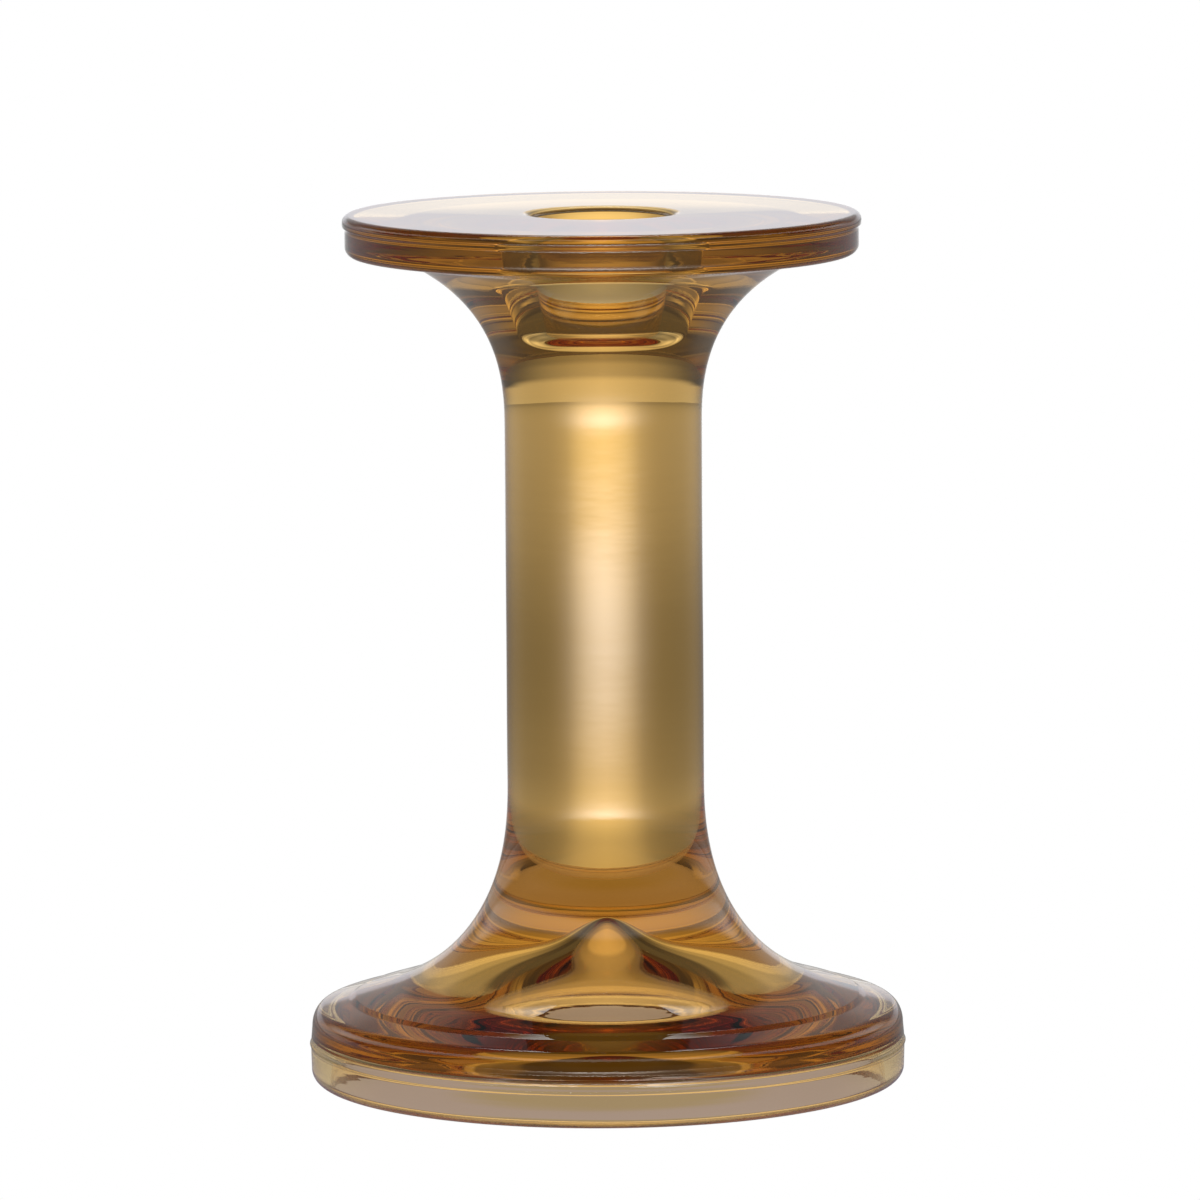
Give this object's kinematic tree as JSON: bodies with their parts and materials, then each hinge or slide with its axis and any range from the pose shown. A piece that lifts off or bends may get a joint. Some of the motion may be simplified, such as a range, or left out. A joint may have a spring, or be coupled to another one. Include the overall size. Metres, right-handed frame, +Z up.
{
  "type": "glass candlestick",
  "caption": "Pillar candlestick in amber glass: round drip pan with a tapered candle socket, solid stem, wide foot with a hollow underside.",
  "frame": {"origin": "centre of the underside of the foot ring, on the surface that the candlestick stands on", "axes": "+Z up along the stem's axis; the candlestick is round, so +X and +Y are any two directions at right angles to it"},
  "size_m": [0.0926, 0.0926, 0.135],
  "materials": {
    "amber_glass": "polished, clear"
  },
  "bodies": {
    "root": {"drip_pan": "amber_glass", "socket_neck": "amber_glass", "stem": "amber_glass", "foot": "amber_glass", "foot_ring": "amber_glass"}
  },
  "joints": []
}
